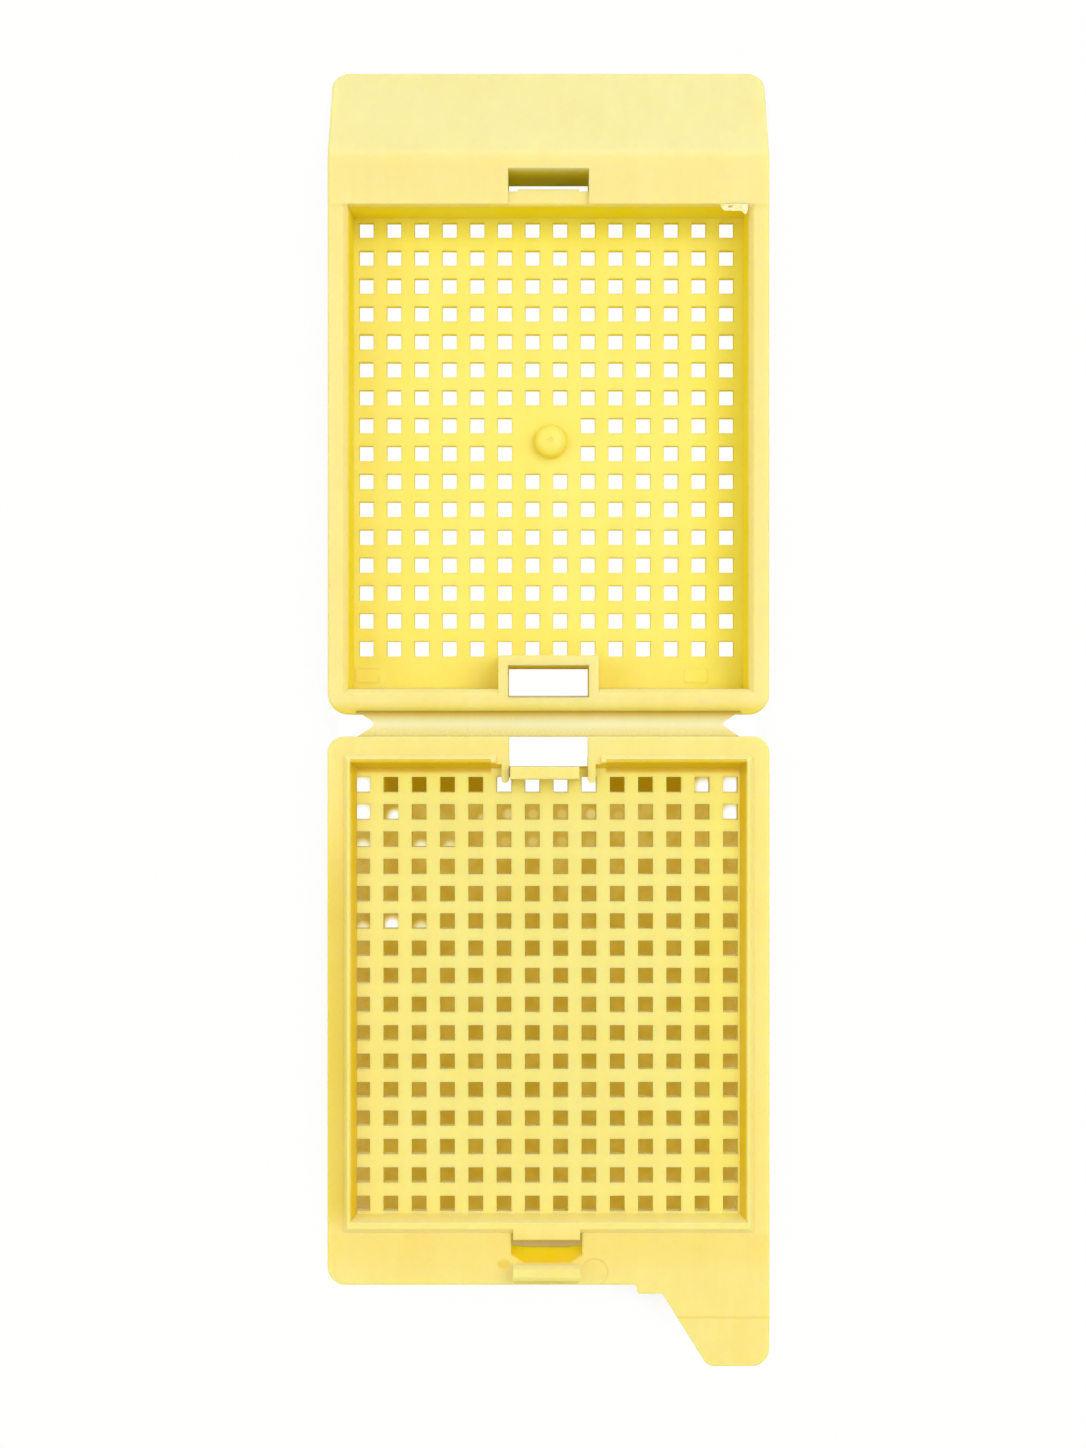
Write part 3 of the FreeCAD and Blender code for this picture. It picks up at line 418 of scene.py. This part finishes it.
def flange_painted_shades(tree, spot, facing, colour):
    """Painted shade on the left strip, the ridge's band, the rear wall and the crease; darker marks."""
    from_fold = sums(tree, "SUBTRACT", fold[1], spot.outputs["Y"])
    upward = stretch(tree, facing.outputs["Z"], 0.2, 0.6)
    # Painted shade: the lid's left strip, outside the ridge, is darker on its upward faces.
    strip = stretch(tree, spot.outputs["X"], -WELL_SIDE + 0.05 * MM, -WELL_SIDE - 0.50 * MM)
    along_strip = between(tree, from_fold, 3 * MM, 13 * MM, 30.5 * MM, 33 * MM)
    strip = product(tree, strip, along_strip, upward, 0.85)
    colour = blend_colour(tree, strip, colour, (0.79, 0.64, 0.08, 1))
    # Painted shade: a band past the front ridge, on upward faces, where the ridge's shadow falls.
    band = between(tree, from_fold, 32.2 * MM, 32.6 * MM, 33.2 * MM, 35.4 * MM)
    colour = blend_colour(tree, product(tree, band, upward, 0.55), colour, (0.92, 0.74, 0.17, 1))
    # Painted shadow of the well's rear wall, on the wall and the floor in front of it.
    colour = blend_colour(tree, rear_wall_shadow(tree, spot, from_fold), colour, (0.74, 0.50, 0.0, 1))
    filled_mark = stretch(tree, from_mark(tree, spot, LEFT_MARK, 0.46 * MM, 0.27 * MM), 1.2, 0.6)
    from_ring = sums(tree, "SUBTRACT", from_mark(tree, spot, RIGHT_MARK, 0.85 * MM, 0.85 * MM), 1.0)
    ring_mark = stretch(tree, sums(tree, "ABSOLUTE", from_ring), 0.12, 0.03)
    for mark, share in ((filled_mark, 0.75), (ring_mark, 0.15)):
        colour = blend_colour(tree, product(tree, mark, upward, share), colour, (0.85, 0.67, 0.05, 1))
    # Painted shade along the tab's crease.
    from_crease = sums(tree, "ABSOLUTE", sums(tree, "SUBTRACT", spot.outputs["Y"], TAB_CREASE))
    crease = product(tree, stretch(tree, from_crease, 0.10 * MM, 0.03 * MM), 0.5)
    return blend_colour(tree, crease, colour, (0.86, 0.64, 0.08, 1))


# Top is the acetal's own colour; the floor, wall, corner and window colours are painted shade.
finish_node(lid, acetal(
    "lid_acetal",
    top=(0.965, 0.80, 0.27, 1), floor=(0.99, 0.815, 0.25, 1), wall=(0.80, 0.55, 0.0, 1), corner_shade_share=0.3,
    tray=(FLANGE_TOP + 0.45 * MM, FLANGE_TOP - 0.85 * MM, WELL_SIDE,
          fold[1] - 31.64 * MM, fold[1] - 2.41 * MM),
    window=(FLANGE_TOP, FLANGE_TOP - 0.6 * MM, 2.40 * MM,
            fold[1] - 34.34 * MM, fold[1] - 32.40 * MM),
    window_shade_colour=(0.91, 0.68, 0.02, 1), own_painted_shades=flange_painted_shades))

# ---- film hinge ------------------------------------------------------------------------------
# A thin film of the same acetal joins the two halves, moulded with them. It is notched to a
# waist at each end, thinnest along the fold, and whitened there by folding.

FILM_LOW, FILM_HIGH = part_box("living_hinge")
FILM_TUCK = 0.06 * MM
FILM_COLUMNS, FILM_ROWS = 72, 32
NOTCH_DEPTH = 1.32 * MM
WAIST_ROUNDING = 0.12 * MM
FOLD_THINNING = 0.10 * MM
THINNED_SHARE = 0.45
film_width = FILM_HIGH.x - FILM_LOW.x
film_rear, film_front = FILM_LOW.y - FILM_TUCK, FILM_HIGH.y + FILM_TUCK / 3
film_thickness = FILM_HIGH.z - FILM_LOW.z
film_reach = max(film_front - fold[1], fold[1] - film_rear)
film_middle_z = (FILM_LOW.z + FILM_HIGH.z) / 2


def film_row(row):
    """Where one row of the film's grid lies, from its rear edge to its front edge."""
    return film_rear + (film_front - film_rear) * row / FILM_ROWS


nothing_selected()
bpy.ops.mesh.primitive_grid_add(x_subdivisions=FILM_COLUMNS, y_subdivisions=FILM_ROWS, size=1, calc_uvs=True,
                                location=(0, (film_rear + film_front) / 2, film_middle_z))
film = bpy.context.object
film.name = "hinge_film"
film.scale = (film_width, film_front - film_rear, 1)
bpy.ops.object.transform_apply(location=True, rotation=True, scale=True)
bpy.ops.object.mode_set(mode="EDIT")
for row in range(FILM_ROWS + 1):
    row_y = film_row(row)
    from_waist = math.hypot(row_y - fold[1], WAIST_ROUNDING)
    notched = NOTCH_DEPTH * (1 - from_waist / math.hypot(film_reach, WAIST_ROUNDING))
    pick_vertices(film, lambda place: abs(place.y - row_y) < SAME_PLACE)
    bpy.ops.transform.resize(value=(1 - 2 * notched / film_width, 1, 1), center_override=(0, row_y, 0))
bpy.ops.object.mode_set(mode="OBJECT")
film_solid = film.modifiers.new("thickness", "SOLIDIFY")
film_solid.thickness = film_thickness
film_solid.offset = 0
bpy.ops.object.modifier_apply(modifier=film_solid.name)
bpy.ops.object.mode_set(mode="EDIT")
for row in range(1, FILM_ROWS):
    row_y = film_row(row)
    away = abs(row_y - fold[1]) / film_reach
    thinned = 1 - (FOLD_THINNING / film_thickness) * math.exp(-(away / THINNED_SHARE) ** 2)
    pick_vertices(film, lambda place: abs(place.y - row_y) < SAME_PLACE)
    bpy.ops.transform.resize(value=(1, 1, thinned), center_override=(0, row_y, film_middle_z))
bpy.ops.mesh.select_all(action="SELECT")
bpy.ops.mesh.normals_make_consistent(inside=False)
bpy.ops.object.mode_set(mode="OBJECT")
bpy.ops.object.shade_smooth_by_angle(angle=math.radians(40))


def colours_along(tree, value, bands):
    """A run of colours along a value, each given as its position and its colour."""
    ramp = node(tree, "ValToRGB")
    stops = ramp.color_ramp.elements
    stops[0].position, stops[0].color = bands[0]
    stops[1].position, stops[1].color = bands[-1]
    for position, colour in bands[1:-1]:
        stops.new(position).color = colour
    tree.links.new(value, ramp.inputs[0])
    return ramp.outputs["Color"]


def film_acetal():
    """Thin acetal, paler where it folds, with painted shade at both ends and a painted brown crease shadow at
    the tray.
    """
    material = bpy.data.materials.new("film_acetal")
    material.use_nodes = True
    tree = material.node_tree
    plastic = tree.nodes["Principled BSDF"]
    coordinates = node(tree, "TexCoord")
    along = node(tree, "SeparateXYZ")
    tree.links.new(coordinates.outputs["UV"], along.inputs[0])
    # Painted shade darkens both ends, where the film meets the halves, to a brown crease shadow at the tray's
    # rear edge.
    bands = colours_along(tree, along.outputs["Y"], (
        (0.0, (0.62, 0.45, 0.08, 1)),
        (0.07, (0.80, 0.66, 0.20, 1)),
        (0.28, (0.86, 0.75, 0.29, 1)),
        (0.48, (0.93, 0.85, 0.47, 1)),
        (0.60, (0.88, 0.78, 0.36, 1)),
        (0.76, (0.76, 0.61, 0.19, 1)),
        (0.88, (0.60, 0.41, 0.05, 1)),
        (0.95, (0.50, 0.30, 0.010, 1)),
    ))
    stretched = node(tree, "Mapping")
    stretched.inputs["Scale"].default_value = (60.0, 2.0, 1.0)
    tree.links.new(coordinates.outputs["UV"], stretched.inputs["Vector"])
    fibres = node(tree, "TexNoise", Scale=4.0, Detail=4.0, Roughness=0.6)
    tree.links.new(stretched.outputs[0], fibres.inputs["Vector"])
    whitening = product(tree, stretch(tree, fibres.outputs["Fac"], 0.35, 0.75, 0.0, 0.3),
                        stretch(tree, along.outputs["Y"], 0.85, 0.6))
    colour = blend_colour(tree, whitening, bands, (0.95, 0.90, 0.60, 1))
    skin = placed(tree, satin_skin, Place=coordinates.outputs["Object"], Colour=colour, Grain=0.3,
                  Edge=node(tree, "NewGeometry").outputs["Normal"])
    tree.links.new(skin.outputs["Colour"], plastic.inputs["Base Color"])
    tree.links.new(skin.outputs["Roughness"], plastic.inputs["Roughness"])
    tree.links.new(skin.outputs["Normal"], plastic.inputs["Normal"])
    plastic.inputs["Specular IOR Level"].default_value = 0.3
    plastic.inputs["Subsurface Weight"].default_value = 0.3
    plastic.inputs["Subsurface Radius"].default_value = (1.0, 0.8, 0.4)
    plastic.inputs["Subsurface Scale"].default_value = 0.0005
    return material


film.data.materials.append(film_acetal())
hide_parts("living_hinge")
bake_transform(film)

# ---- floor, lamps and camera -------------------------------------------------------------------
# A plain white table under a broad soft lamp from the far right, a weaker one from the left, and
# an even white room around them.

nothing_selected()
bpy.ops.mesh.primitive_plane_add(size=3, location=(0, fold[1], 0))
table = bpy.context.object
table.name = "table"


# Where light gets through under the lid: x and distance from the fold in mm, radius in mm, and
# share of full light.
LIGHT_SPOTS = (
    (-12.15, 4.1, 1.6, 1.0), (-12.15, 5.9, 1.6, 1.0), (-10.0, 6.1, 1.0, 1.0), (-4.3, 6.2, 0.7, 0.7),
    (-2.6, 5.9, 0.8, 0.7), (-1.0, 5.9, 0.8, 0.65), (0.9, 5.9, 0.8, 0.65), (2.8, 5.9, 0.8, 0.7),
    (4.6, 6.0, 0.8, 0.6), (-12.1, 8.1, 1.1, 0.92), (-8.3, 8.1, 1.0, 0.9), (-6.4, 8.1, 1.0, 0.82),
    (-2.8, 7.7, 0.8, 0.62), (-1.0, 7.7, 0.8, 0.66), (0.9, 7.7, 0.8, 0.62), (2.7, 7.8, 0.8, 0.58),
    (-12.1, 13.4, 0.9, 0.85), (-10.2, 13.2, 1.1, 1.0), (-8.3, 13.4, 1.0, 0.85), (10.15, 4.15, 1.2, 1.0),
    (11.95, 4.1, 1.5, 1.0), (11.95, 5.9, 1.4, 1.0),
)


def lid_shadow(tree, place, from_fold):
    """The shadow's colour under the lid: brown and cloudy, paler near the fold, with spots of light in it."""
    clouds = node(tree, "TexNoise", Scale=700.0, Detail=2.0)
    tree.links.new(place, clouds.inputs["Vector"])
    past_first_row = stretch(tree, from_fold, 4.4 * MM, 5.4 * MM)
    light = sums(tree, "ADD", stretch(tree, clouds.outputs["Fac"], 0.3, 0.7, 0.0, 0.12),
                 product(tree, past_first_row, 0.34))
    light = sums(tree, "ADD", light, stretch(tree, from_fold, 14.0 * MM, 6.5 * MM, 0.0, 0.10))
    light = product(tree, light, past_first_row)
    for x, distance, radius, share in LIGHT_SPOTS:
        apart = node(tree, "VectorMath", operation="DISTANCE")
        tree.links.new(place, apart.inputs[0])
        apart.inputs[1].default_value = (x * MM, fold[1] - distance * MM, 0)
        spot = stretch(tree, apart.outputs["Value"], 1.15 * radius * MM, 0.2 * radius * MM, 0.0, share)
        light = sums(tree, "MAXIMUM", light, spot)
    return colours_along(tree, light, (
        (0.0, (0.332, 0.184, 0.002, 1)),
        (0.3, (0.45, 0.265, 0.013, 1)),
        (0.45, (0.53, 0.33, 0.032, 1)),
        (0.62, (0.64, 0.45, 0.085, 1)),
        (0.8, (0.80, 0.69, 0.30, 1)),
        (1.0, (1, 1, 0.99, 1)),
    ))


def mix_shaders(tree, share, first, second):
    """Two shaders mixed by the second one's share."""
    mixed = node(tree, "MixShader")
    for socket, value in zip(mixed.inputs, (share, first, second)):
        tree.links.new(value, socket)
    return mixed.outputs[0]


def table_paper():
    """White paper that keeps shadows, brown where the lid's grid shuts out the light over it."""
    material = bpy.data.materials.new("table_paper")
    material.use_nodes = True
    tree = material.node_tree
    tree.nodes.remove(tree.nodes["Principled BSDF"])
    path = node(tree, "LightPath")
    seen = path.outputs["Is Camera Ray"]
    mirrored = sums(tree, "MAXIMUM", path.outputs["Is Glossy Ray"], path.outputs["Is Transmission Ray"])
    place = node(tree, "NewGeometry").outputs["Position"]
    open_above = node(tree, "AmbientOcclusion", Distance=12 * MM, samples=8).outputs["AO"]
    spot = node(tree, "SeparateXYZ")
    tree.links.new(place, spot.inputs[0])
    from_fold = sums(tree, "SUBTRACT", fold[1], spot.outputs["Y"])
    from_middle = sums(tree, "ABSOLUTE", spot.outputs["X"])
    under_base = in_box(tree, place, 1.0, 0.0, base_high.x, base_low.y, base_high.y).outputs["Inside"]
    under_fold = product(tree, stretch(tree, from_middle, 15.5 * MM, 13.5 * MM),
                         stretch(tree, sums(tree, "ABSOLUTE", from_fold), 3.0 * MM, 1.4 * MM))
    under_notch = product(tree, stretch(tree, from_middle, 3.95 * MM, 3.55 * MM),
                          between(tree, from_fold, -1.0 * MM, 0.0, 4.6 * MM, 5.2 * MM))
    bright = sums(tree, "MAXIMUM", under_base, sums(tree, "MAXIMUM", under_fold, under_notch))
    under_lid = product(tree, stretch(tree, from_middle, 14.2 * MM, 12.7 * MM),
                        between(tree, from_fold, 1.7 * MM, 3.1 * MM, 32.5 * MM, 36.2 * MM))
    covered = product(tree, under_lid, stretch(tree, open_above, 0.77, 0.55), seen,
                      sums(tree, "SUBTRACT", 1.0, bright))
    white = product(tree, sums(tree, "MAXIMUM", seen, mirrored),
                    sums(tree, "MAXIMUM", stretch(tree, open_above, 0.2, 0.6), bright),
                    sums(tree, "SUBTRACT", 1.0, covered))
    paper = node(tree, "BsdfDiffuse")
    tree.links.new(blend_colour(tree, covered, (0.92, 0.92, 0.91, 1), (0.95, 0.60, 0.02, 1)),
                   paper.inputs["Color"])
    backdrop = node(tree, "Emission", Color=(1, 1, 0.99, 1), Strength=1.0)
    brown = node(tree, "Emission", Strength=1.0)
    tree.links.new(lid_shadow(tree, place, from_fold), brown.inputs["Color"])
    lit = mix_shaders(tree, white, paper.outputs[0], backdrop.outputs[0])
    tree.links.new(mix_shaders(tree, covered, lit, brown.outputs[0]),
                   tree.nodes["Material Output"].inputs["Surface"])
    return material


table.data.materials.append(table_paper())


def soft_lamp(name, size, power, place, aim):
    """A square lamp at a place, turned to shine on a point, which the camera doesn't see."""
    lamp = bpy.data.lights.new(name, "AREA")
    lamp.shape = "SQUARE"
    lamp.size = size
    lamp.energy = power
    holder = bpy.data.objects.new(name, lamp)
    holder.location = place
    direction = holder.location.copy()
    for axis in range(3):
        direction[axis] = aim[axis] - place[axis]
    holder.rotation_euler = direction.to_track_quat("-Z", "Y").to_euler()
    holder.visible_camera = False
    bpy.context.scene.collection.objects.link(holder)


soft_lamp("key_lamp", 0.30, 1.12, (0.22, 0.13, 0.52), (0, fold[1], 0))
soft_lamp("left_lamp", 0.30, 0.42, (-0.28, 0.04, 0.46), (0, fold[1], 0))

world = bpy.data.worlds.new("white_room")
bpy.context.scene.world = world
world.use_nodes = True
room = world.node_tree
sky = room.nodes["Background"]
sky.inputs["Color"].default_value = (1, 1, 1, 1)
sky.inputs["Strength"].default_value = 0.66
backdrop = node(room, "Background", Color=(1, 1, 1, 1), Strength=1.0)
room_path = node(room, "LightPath")
room_seen = sums(room, "MAXIMUM", room_path.outputs["Is Camera Ray"], room_path.outputs["Is Glossy Ray"])
room_seen = sums(room, "MAXIMUM", room_seen, room_path.outputs["Is Transmission Ray"])
room.links.new(mix_shaders(room, room_seen, sky.outputs[0], backdrop.outputs[0]),
               room.nodes["World Output"].inputs["Surface"])

bpy.context.scene.view_settings.view_transform = "Standard"

CAMERA_HEIGHT = 0.179
CAMERA_LEFT = 0.35 * MM
SENSOR_HEIGHT, LENS = 24, 45.36
camera_data = bpy.data.cameras.new("camera")
camera_data.sensor_fit = "VERTICAL"
camera_data.sensor_height = SENSOR_HEIGHT
camera_data.lens = LENS
camera_data.clip_start = 0.005
camera = bpy.data.objects.new("camera", camera_data)
camera.location = (-CAMERA_LEFT, fold[1], CAMERA_HEIGHT)
bpy.context.scene.collection.objects.link(camera)
bpy.context.scene.camera = camera
